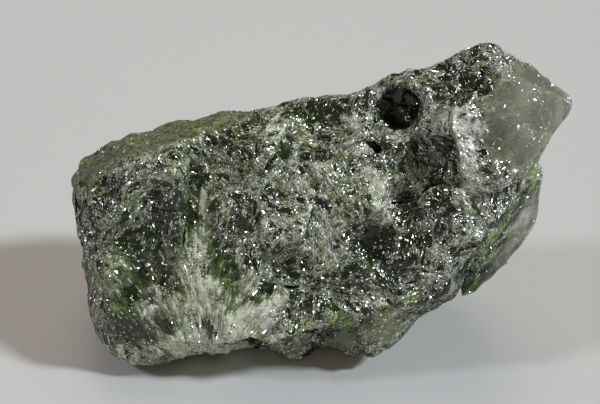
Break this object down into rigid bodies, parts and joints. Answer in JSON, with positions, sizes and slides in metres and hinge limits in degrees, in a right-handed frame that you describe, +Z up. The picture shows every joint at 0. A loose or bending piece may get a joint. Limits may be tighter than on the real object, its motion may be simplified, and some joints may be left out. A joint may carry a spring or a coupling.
{
  "type": "diopside crystal",
  "caption": "Rough, freshly broken chunk of translucent dark green diopside crystal that lies on a flat cleavage face, for use as a mineral specimen or stone.",
  "frame": {"origin": "middle of the bounding box in X and Y, on the flat face that the piece lies on", "axes": "+Z up, +X along the piece towards its glassy tip, -Y towards the freshly broken, grainy side"},
  "size_m": [0.0326, 0.015, 0.0173],
  "materials": {
    "diopside": "satin"
  },
  "bodies": {
    "root": {"diopside_crystal": "diopside"}
  },
  "joints": []
}
